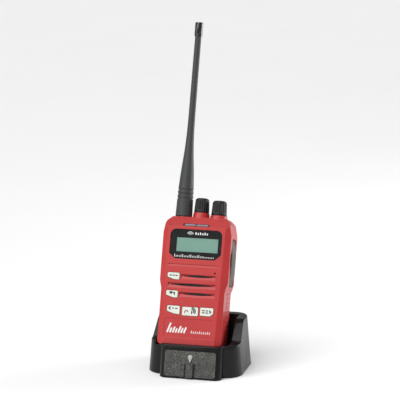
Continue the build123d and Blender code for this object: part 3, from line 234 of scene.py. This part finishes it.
# Spark-eroded front panel: dark plastic with coarse glittering pits that catch the light one by one
def sparkTextured():
    look = dict(dark="#1C1C1B", mid="#3A3A37", light="#767670", speckMm=0.55, fineMm=0.25, cloudMm=5)
    material, tree = startMaterial("sparkTexturedAbs")
    place = addNode(tree, "ShaderNodeTexCoord").outputs["Object"]
    speck = addNode(
        tree, "ShaderNodeTexNoise",
        {"Vector": place, "Scale": 1000 / look["speckMm"], "Detail": 1.0, "Roughness": 0.6},
    )
    fine = addNode(
        tree, "ShaderNodeTexNoise", {"Vector": place, "Scale": 1000 / look["fineMm"], "Detail": 1.0},
    )
    cloud = addNode(
        tree, "ShaderNodeTexNoise", {"Vector": place, "Scale": 1000 / look["cloudMm"], "Detail": 2.0},
    )
    drift = addNode(
        tree, "ShaderNodeMath", {0: cloud.outputs["Fac"], 1: 0.25, 2: speck.outputs["Fac"]},
        operation="MULTIPLY_ADD",
    )
    spread = addNode(
        tree, "ShaderNodeMapRange", {"Value": drift.outputs[0], "From Min": 0.4, "From Max": 0.86},
    )
    ramp = addNode(tree, "ShaderNodeValToRGB", {"Fac": spread.outputs[0]})
    ramp.color_ramp.elements[0].color = hexToLinear(look["dark"])
    ramp.color_ramp.elements[1].color = hexToLinear(look["light"])
    middle = ramp.color_ramp.elements.new(0.55)
    middle.color = hexToLinear(look["mid"])
    bump = addNode(
        tree, "ShaderNodeBump", {"Height": fine.outputs["Fac"], "Strength": 0.8, "Distance": 0.00012},
    )
    coarse = addNode(
        tree, "ShaderNodeBump",
        {"Height": speck.outputs["Fac"], "Strength": 0.9, "Distance": 0.0002, "Normal": bump.outputs[0]},
    )
    shader = addNode(
        tree, "ShaderNodeBsdfPrincipled",
        {"Base Color": ramp.outputs[0], "Roughness": 0.4, "Normal": coarse.outputs[0], "IOR": 1.5},
    )
    finishMaterial(tree, shader)
    return material


# Reflective grey-green liquid crystal glass with its faint pixel rows
def lcdGlass():
    look = dict(colour="#96C4B2", shade="#8AB8A6", glow="#86B3A5", glowStrength=0.18, rowMm=0.5, cloudMm=11.1)
    material, tree = startMaterial("greenLcdGlass")
    place = addNode(tree, "ShaderNodeTexCoord").outputs["Object"]
    cloud = addNode(
        tree, "ShaderNodeTexNoise", {"Vector": place, "Scale": 1000 / look["cloudMm"], "Detail": 2.0},
    )
    rows = addNode(
        tree, "ShaderNodeTexWave", {"Vector": place, "Scale": 1000 / look["rowMm"] / 20, "Distortion": 0.0},
        bands_direction="X",
    )
    blend = addNode(
        tree, "ShaderNodeMath", {0: rows.outputs["Fac"], 1: 0.12, 2: cloud.outputs["Fac"]},
        operation="MULTIPLY_ADD",
    )
    tone = addNode(
        tree, "ShaderNodeMix",
        {"Factor": blend.outputs[0], 6: hexToLinear(look["shade"]), 7: hexToLinear(look["colour"])},
        data_type="RGBA",
    )
    shader = addNode(
        tree, "ShaderNodeBsdfPrincipled",
        {"Base Color": tone.outputs[2], "Roughness": 0.3, "IOR": 1.5,
         "Emission Color": hexToLinear(look["glow"]), "Emission Strength": look["glowStrength"]},
    )
    finishMaterial(tree, shader)
    return material


# Clear acrylic: the pane itself is almost invisible and only adds its gloss
def clearAcrylic():
    look = dict(colour="#15181A", smearMm=6.25, clarity=0.16)
    material, tree = startMaterial("clearAcrylic")
    place = addNode(tree, "ShaderNodeTexCoord").outputs["Object"]
    smear = addNode(
        tree, "ShaderNodeTexNoise", {"Vector": place, "Scale": 1000 / look["smearMm"], "Detail": 3.0},
    )
    polish = addNode(
        tree, "ShaderNodeMapRange",
        {"Value": smear.outputs["Fac"], "From Min": 0.35, "From Max": 0.7, "To Min": 0.04, "To Max": 0.1},
    )
    shader = addNode(
        tree, "ShaderNodeBsdfPrincipled",
        {"Base Color": hexToLinear(look["colour"]), "Roughness": polish.outputs[0], "IOR": 1.49,
         "Alpha": look["clarity"], "Coat Weight": 1.0, "Coat Roughness": 0.03},
    )
    finishMaterial(tree, shader)
    return material


materials = {name: mouldedSurface(name, look) for name, look in mouldedLooks.items()}
materials.update({name: metalSurface(name, look) for name, look in metalLooks.items()})
materials["sparkTexturedAbs"] = sparkTextured()
materials["greenLcdGlass"] = lcdGlass()
materials["clearAcrylic"] = clearAcrylic()
print("materials made:", len(materials))

nodeFinish = {
    "redMouldedAbs": ["front_case"],
    "clearAcrylic": ["display_lens"],
    "glossBlackAbs": ["lens_mask", "status_frame", "antenna_cap"],
    "greenLcdGlass": ["lcd_panel"],
    "offWhiteKeyAbs": ["mode_key", "return_key", "scan_key", "talk_key", "menu_key"],
    "siliconeMat": ["keypad_mat"],
    "circuitLaminate": ["key_board", "main_board", "charge_board"],
    "castAluminiumBlack": ["chassis", "latch_guides", "speaker", "microphone"],
    "pressedSteel": ["lcd_frame", "shield_can", "volume_pot", "channel_encoder"],
    "zincSteel": [
        "case_screws", "volume_shaft", "channel_shaft", "antenna_core", "cover_pin", "clip_pin", "clip_spring",
        "clip_screws", "pin_spring_left", "pin_spring_right", "base_screws",
    ],
    "frostedDiffuser": ["status_lights"],
    "knobMouldedAbs": ["volume_knob", "channel_knob"],
    "nickelBrass": ["bushing_nuts", "antenna_socket"],
    "whipRubber": ["antenna_sleeve"],
    "blackKeyRubber": ["ptt_bar", "side_key"],
    "greyFlapRubber": ["jack_cover"],
    "blackGrainedAbs": ["battery_case", "battery_lid", "battery_latch", "clip_base", "belt_clip", "jack_block"],
    "cellFoil": ["battery_cells"],
    "goldPlate": ["charge_contacts", "contact_pin_left", "contact_pin_right"],
    "blackSatinAbs": ["cradle_shell", "pin_block", "base_plate", "dc_inlet"],
    "sparkTexturedAbs": ["front_panel"],
    # the charge light's lens carries a painted highlight in its colour
    "chargeLensPaintedHighlight": ["charge_light"],
    "deskFootRubber": ["rubber_mat"],
}
for materialName, nodeNames in nodeFinish.items():
    for nodeName in nodeNames:
        slots = nodes[nodeName].data.materials
        slots.clear()
        slots.append(materials[materialName])
print("finishes assigned")


# Moulded shells get real rounded edges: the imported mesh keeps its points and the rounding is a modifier
edgeRadii = {
    "front_case": 0.3, "cradle_shell": 0.5, "battery_case": 0.3, "belt_clip": 0.35, "clip_base": 0.2,
    "battery_latch": 0.2, "jack_cover": 0.25, "ptt_bar": 0.15, "side_key": 0.15, "front_panel": 0.15,
    "latch_guides": 0.15, "base_plate": 0.3, "antenna_cap": 0.15,
}
for nodeName, radius in edgeRadii.items():
    weld = nodes[nodeName].modifiers.new("weld", "WELD")
    weld.merge_threshold = 0.00001
    rounding = nodes[nodeName].modifiers.new("rounding", "BEVEL")
    rounding.width = radius * millimetre
    rounding.segments = 2
    rounding.limit_method = "ANGLE"
    rounding.angle_limit = math.radians(32)
    rounding.harden_normals = True
print("edges rounded")


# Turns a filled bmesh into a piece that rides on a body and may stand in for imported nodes
def addPiece(name, build, place, material, body, smoothAngle=40, stands=()):
    mesh = bpy.data.meshes.new(name)
    bmesh.ops.recalc_face_normals(build, faces=build.faces)
    build.to_mesh(mesh)
    build.free()
    mesh.transform(place)
    mesh.shade_smooth()
    mesh.set_sharp_from_angle(angle=math.radians(smoothAngle))
    mesh.materials.append(materials[material])
    piece = bpy.data.objects.new(name, mesh)
    bpy.context.scene.collection.objects.link(piece)
    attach(piece, body)
    if stands:
        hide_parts(*stands)
    return piece


# Spins (radius, height) points about a vertical line and closes both ends
def lathe(build, centre, profile, turns, radiusAt=None):
    rings = []
    for radius, height in profile:
        ring = []
        for step in range(turns):
            angle = 2 * math.pi * step / turns
            reach = radiusAt(radius, height, angle) if radiusAt else radius
            ring.append(build.verts.new((
                centre[0] + reach * math.cos(angle), centre[1] + reach * math.sin(angle), centre[2] + height,
            )))
        rings.append(ring)
    for lower, upper in zip(rings, rings[1:]):
        for step in range(turns):
            after = (step + 1) % turns
            build.faces.new((lower[step], lower[after], upper[after], upper[step]))
    build.faces.new(list(reversed(rings[0])))
    build.faces.new(rings[-1])


# A flat raised line through (x, z) points on the radio's face, with round ends
def stroke(build, points, width, front, depth):
    half = width / 2
    for (x0, z0), (x1, z1) in zip(points, points[1:]):
        length = math.hypot(x1 - x0, z1 - z0)
        ux, uz = (x1 - x0) / length, (z1 - z0) / length
        outline = []
        for centre, start in (((x0, z0), 0.5), ((x1, z1), -0.5)):
            for step in range(7):
                angle = math.pi * (start + step / 6)
                ax, az = half * math.cos(angle), half * math.sin(angle)
                outline.append((centre[0] + ax * ux - az * uz, centre[1] + ax * uz + az * ux))
        frontRing = [build.verts.new((x, front, z)) for x, z in outline]
        backRing = [build.verts.new((x, front + depth, z)) for x, z in outline]
        build.faces.new(frontRing)
        build.faces.new(list(reversed(backRing)))
        for step in range(len(outline)):
            after = (step + 1) % len(outline)
            build.faces.new((frontRing[step], backRing[step], backRing[after], frontRing[after]))


def arcPoints(centre, radius, startDegrees, endDegrees, steps=8):  # (x, z) points along an arc
    return [
        (centre[0] + radius * math.cos(math.radians(a)), centre[1] + radius * math.sin(math.radians(a)))
        for a in [startDegrees + (endDegrees - startDegrees) * i / steps for i in range(steps + 1)]
    ]


# Knobs: fluted skirt, rounded shoulder, shallow dish on top and a white pointer
knobs = {
    "volumeKnob": dict(x=-0.4, foot=101.05, radius=5.8, height=11.0,
                       body="volume_control", node="volume_knob"),
    "channelKnob": dict(x=13.2, foot=99.55, radius=5.95, height=11.2,
                        body="channel_control", node="channel_knob"),
}
fluting = dict(count=18, depth=0.42, foot=1.0, draft=0.055, shoulder=8.8, rounding=2.2, sharpness=0.55)
pointerSize = dict(across=0.7, along=2.4, thick=0.12)
depthAxis = -2.0  # knobs and antenna stand this far behind the middle of the radio
for name, knob in knobs.items():
    radius, height = knob["radius"], knob["height"]
    profile = [(radius - 0.5, 0.0), (radius - 0.12, 0.12), (radius, 0.45), (radius, 1.0)]
    profile += [(radius - fluting["draft"] * h, h) for h in (1.3, 1.8, 3.0, 4.5, 6.0, 7.2, 8.0, 8.6)]
    shoulder = radius - fluting["draft"] * fluting["shoulder"]
    for step in range(1, 8):
        angle = math.radians(90 * step / 7)
        profile.append((
            shoulder + fluting["rounding"] * (math.cos(angle) - 1),
            fluting["shoulder"] + (height - fluting["shoulder"]) * math.sin(angle),
        ))
    profile += [(shoulder - 2.7, height - 0.03), (shoulder - 3.2, height - 0.22), (0.6, height - 0.3)]  # dish

    def fluted(r, h, angle):  # flutes fade out at the foot and under the top
        fade = min(1, max(0, (h - fluting["foot"]) / 0.6)) * min(1, max(0, (height - 0.9 - h) / 1.6))
        crest = 0.5 + 0.5 * math.cos(fluting["count"] * angle)
        return r - fluting["depth"] * fade * (1 - crest ** fluting["sharpness"])

    build = bmesh.new()
    lathe(build, (knob["x"], depthAxis, knob["foot"]), profile, fluting["count"] * 10, fluted)
    addPiece(name, build, radioPlace, "knobMouldedAbs", knob["body"], 50, [knob["node"]])
    build = bmesh.new()
    pointerPlace = Matrix.Translation((knob["x"], depthAxis - shoulder + 2.6, knob["foot"] + height - 0.08))
    pointerSides = Matrix.Diagonal((*pointerSize.values(), 1))
    bmesh.ops.create_cube(build, size=1.0, matrix=pointerPlace @ pointerSides)
    bmesh.ops.bevel(build, geom=build.edges[:], offset=0.05, segments=2, affect="EDGES")
    addPiece(name + "Pointer", build, radioPlace, "printedWhite", knob["body"])
print("knobs made")

# Whip antenna: stout ringed base that narrows to the whip
whip = dict(x=-14.0, seat=97.6, foot=6.45, collar=5.85, tip=2.4, collarTop=21.0, length=139.4,
            rings=(13.7, 16.9, 20.2), ringDepth=0.5, ringHalf=0.6, turns=56,
            taper=((35.0, 4.9), (50.0, 3.5), (62.0, 2.85), (74.0, 2.58)))  # (height, radius) stations
taperStations = [(whip["collarTop"], whip["collar"]), *whip["taper"], (whip["length"], whip["tip"])]


def whipRadius(height):
    if height <= whip["collarTop"]:
        radius = whip["foot"] + (whip["collar"] - whip["foot"]) * height / whip["collarTop"]
        for ringHeight in whip["rings"]:
            distance = abs(height - ringHeight) / whip["ringHalf"]
            if distance < 1:
                radius -= whip["ringDepth"] * math.sqrt(1 - distance * distance)
        return radius
    for (h0, r0), (h1, r1) in zip(taperStations, taperStations[1:]):
        if height <= h1:
            return r0 + (r1 - r0) * (height - h0) / (h1 - h0)
    return whip["tip"]


heights = [0.0, 0.15, 0.5, 1.5] + [3 + 1.5 * i for i in range(7)]
for ringHeight in whip["rings"]:
    heights += [ringHeight + whip["ringHalf"] * part for part in (-1.02, -0.9, -0.6, 0, 0.6, 0.9, 1.02)]
heights += [21.5 + 1.5 * i for i in range(36)] + [78.0 + 6 * i for i in range(10)] + [whip["length"] - 0.1]
smoothed = []
for height in sorted(heights):
    if height > 30:  # the taper is averaged over ten millimetres, so it shows no corners
        near = [min(whip["length"], max(whip["collarTop"], height + 1.25 * k)) for k in range(-4, 5)]
        smoothed.append((sum(whipRadius(h) for h in near) / len(near), height))
    else:
        smoothed.append((whipRadius(height), height))
smoothed[0] = (smoothed[0][0] - 0.35, 0.0)  # small chamfer at the foot
build = bmesh.new()
lathe(build, (whip["x"], depthAxis, whip["seat"]), smoothed, whip["turns"])
addPiece("whipAntenna", build, radioPlace, "whipRubber", "radio", 50, ["antenna_sleeve"])
print("antenna made")

# Key legends: simple generic signs
faceFront = -14.5
keyFront = faceFront - 0.7
legendPrint = dict(stroke=0.85, roseStroke=0.7, depth=0.12, sunk=0.05)
legends = {
    "mode_key": [
        [(-17.7, 51.7), (-16.6, 51.7)], [(-15.4, 51.7), (-14.5, 51.7)], [(-13.3, 51.7), (-12.2, 51.7)],
    ],
    "return_key": [
        [(-13.2, 37.3), (-13.2, 38.7), (-16.6, 38.7)], [(-15.6, 39.5), (-16.8, 38.7), (-15.6, 37.9)],
    ],
    "scan_key": [
        [(-15.4, 27.9), (-16.6, 27.0), (-15.4, 26.1)], [(-13.9, 27.0), (-12.9, 27.0)],
        [(-11.4, 27.0), (-10.2, 27.0)],
    ],
    "talk_key": [
        [(1.2, 23.8), (1.2, 25.6)], arcPoints((1.2, 25.4), 1.5, -30, 90), arcPoints((1.2, 25.4), 2.7, -30, 90),
    ],
    "menu_key": [
        [(9.4, 26.6), (10.8, 26.6)], [(9.4, 25.0), (10.8, 25.0)], [(12.2, 26.6), (13.4, 26.6)],
        [(12.2, 25.0), (13.4, 25.0)], [(14.8, 26.6), (15.9, 25.8), (14.8, 25.0)],
    ],
}
legendFront = keyFront - legendPrint["sunk"]
for node, lines in legends.items():
    build = bmesh.new()
    for line in lines:
        stroke(build, line, legendPrint["stroke"], legendFront, legendPrint["depth"])
    addPiece(node.replace("_key", "Legend"), build, radioPlace, "printedLegend", node + "_cap")
build = bmesh.new()
roseArc = arcPoints((-2.9, 24.6), 1.3, 20, 200)
stroke(build, roseArc, legendPrint["roseStroke"], legendFront, legendPrint["depth"])
addPiece("talkLegendRose", build, radioPlace, "printedRose", "talk_key_cap")

# Printed on the lens: a plain signal fan above the display and a tuning scale below it
lensPrint = dict(fanX=-4.6, fanZ=83.2, fanRadii=(0.8, 1.6, 2.4), blocks=6, blockPitch=1.75,
                 scaleFoot=65.9, scaleStart=-15.6, scalePitch=1.25, scaleMarks=25, depth=0.08)
build = bmesh.new()
lensFront = faceFront - 0.02
for radius in lensPrint["fanRadii"]:
    fan = arcPoints((lensPrint["fanX"], lensPrint["fanZ"] - 0.4), radius, 25, 155)
    stroke(build, fan, 0.5, lensFront, lensPrint["depth"])
for mark in range(lensPrint["blocks"]):
    left = lensPrint["fanX"] + 4.2 + lensPrint["blockPitch"] * mark
    stroke(build, [(left, 83.4), (left, 84.6 - 0.5 * (mark % 2))], 0.95, lensFront, lensPrint["depth"])
for mark in range(lensPrint["scaleMarks"]):
    left = lensPrint["scaleStart"] + lensPrint["scalePitch"] * mark
    tall = (1.9, 0.9, 1.2, 0.9, 1.5)[mark % 5] if mark < 19 else 0.6
    foot = lensPrint["scaleFoot"]
    stroke(build, [(left, foot), (left, foot + tall)], 0.45, lensFront, lensPrint["depth"])
addPiece("lensMarks", build, radioPlace, "printedWhite", "radio")

# Printed on the lower field: a bold level sign of slanting bars and a row of small ticks
fieldPrint = dict(barStart=-16.6, barPitch=2.15, barFoot=9.4, barSlant=0.34, barWidth=1.25,
                  bars=(6.2, 2.6, 3.4, 2.2, 4.2, 2.8, 3.4),
                  tickStart=1.8, tickPitch=1.55, tickFoot=9.2, ticks=10, depth=0.1)
build = bmesh.new()
fieldFront = faceFront + 0.3 - 0.02  # the field lies 0.3 deep
for bar, tall in enumerate(fieldPrint["bars"]):
    left = fieldPrint["barStart"] + fieldPrint["barPitch"] * bar
    foot = fieldPrint["barFoot"]
    slanting = [(left, foot), (left + fieldPrint["barSlant"] * tall, foot + tall)]
    stroke(build, slanting, fieldPrint["barWidth"], fieldFront, fieldPrint["depth"])
for tick in range(fieldPrint["ticks"]):
    left = fieldPrint["tickStart"] + fieldPrint["tickPitch"] * tick
    tall = (1.7, 1.1, 1.4, 1.1)[tick % 4]
    foot = fieldPrint["tickFoot"]
    stroke(build, [(left, foot), (left + 0.15 * tall, foot + tall)], 0.55, fieldFront, fieldPrint["depth"])
addPiece("fieldMarks", build, radioPlace, "printedWhite", "radio")
print("legends and marks made")

# Grip ribs on both sides of the grip; the left row stops below the side key
ribs = dict(rightRows=9, leftRows=5, foot=14.5, pitch=3.3, side=24.5, back=0.4, stagger=0.35, slant=14,
            size=(0.55, 6.4, 1.1), rounding=0.22)
build = bmesh.new()
for side, rows in ((1, ribs["rightRows"]), (-1, ribs["leftRows"])):
    for row in range(rows):
        ribPlace = Matrix.Translation((
            side * ribs["side"], ribs["back"] + ribs["stagger"] * (row % 2), ribs["foot"] + ribs["pitch"] * row,
        ))
        ribTurn = Matrix.Rotation(math.radians(ribs["slant"]), 4, "X")
        bmesh.ops.create_cube(build, size=1.0, matrix=ribPlace @ ribTurn @ Matrix.Diagonal((*ribs["size"], 1)))
bmesh.ops.bevel(build, geom=build.edges[:], offset=ribs["rounding"], segments=3, affect="EDGES")
addPiece("gripRibs", build, radioPlace, "redMouldedAbs", "radio")

# Speaker cloth seen through the slots
cloth = dict(centre=(3.9, -12.3, 46.4), radius=12.3, thick=0.3, segments=48)
build = bmesh.new()
bmesh.ops.create_cone(
    build, cap_ends=True, segments=cloth["segments"], radius1=cloth["radius"], radius2=cloth["radius"],
    depth=cloth["thick"],
    matrix=Matrix.Translation(cloth["centre"]) @ Matrix.Rotation(math.radians(90), 4, "X"),
)
addPiece("speakerCloth", build, radioPlace, "blackKeyRubber", "radio")
print("ribs and cloth made")

# Stage: pale floor, even soft light from above, a softbox at each side
stage = dict(size=120.0, light="#F9F9F9", dark="#F5F5F5", ambient=0.42)
bpy.ops.mesh.primitive_plane_add(size=stage["size"], location=(0, 0, 0))
floor = bpy.context.object
floor.name = "floor"
floorMaterial, tree = startMaterial("paleFloor")
floorPlace = addNode(tree, "ShaderNodeTexCoord").outputs["Object"]
floorNoise = addNode(tree, "ShaderNodeTexNoise", {"Vector": floorPlace, "Scale": 6.0, "Detail": 3.0})
floorTone = addNode(
    tree, "ShaderNodeMix",
    {"Factor": floorNoise.outputs["Fac"], 6: hexToLinear(stage["dark"]), 7: hexToLinear(stage["light"])},
    data_type="RGBA",
)
finishMaterial(tree, addNode(
    tree, "ShaderNodeBsdfPrincipled", {"Base Color": floorTone.outputs[2], "Roughness": 0.9},
))
floor.data.materials.append(floorMaterial)

world = bpy.data.worlds.new("studio")
bpy.context.scene.world = world
world.use_nodes = True
background = world.node_tree.nodes["Background"]
background.inputs["Color"].default_value = (1.0, 1.0, 1.0, 1.0)
background.inputs["Strength"].default_value = stage["ambient"]


def addLight(name, kind, at, target, **settings):
    data = bpy.data.lights.new(name, kind)
    for setting, value in settings.items():
        setattr(data, setting, value)
    lamp = bpy.data.objects.new(name, data)
    bpy.context.scene.collection.objects.link(lamp)
    lamp.location = at
    lamp.rotation_euler = (Vector(target) - Vector(at)).to_track_quat("-Z", "Y").to_euler()


addLight("overhead", "SUN", (-0.5, -0.9, 1.6), (0, 0, 0), energy=2.0, angle=math.radians(60))
addLight("rightSoftbox", "AREA", (0.62, 0.42, 0.2), (0, 0, 0.07), energy=3.0, size=0.3)
addLight("leftSoftbox", "AREA", (-0.6, -0.55, 0.45), (0, 0, 0.12), energy=1.5, size=0.35)

# Camera: to the right of the front and a little above, with a long lens
view = dict(azimuth=14.0, elevation=12.5, distance=1.6, aim=(-0.0003, 0.0, 0.1292), width=0.2985)
azimuth, elevation = math.radians(view["azimuth"]), math.radians(view["elevation"])
aim = Vector(view["aim"])
direction = Vector((
    math.sin(azimuth) * math.cos(elevation), -math.cos(azimuth) * math.cos(elevation), math.sin(elevation),
))
cameraData = bpy.data.cameras.new("camera")
cameraData.sensor_width = 36.0
cameraData.lens = 36.0 * view["distance"] / view["width"]
cameraData.clip_start = 0.01
camera = bpy.data.objects.new("camera", cameraData)
bpy.context.scene.collection.objects.link(camera)
camera.location = aim + direction * view["distance"]
camera.rotation_euler = (-direction).to_track_quat("-Z", "Y").to_euler()
bpy.context.scene.camera = camera
bpy.context.scene.view_settings.view_transform = "Standard"
print("stage, lights and camera set")
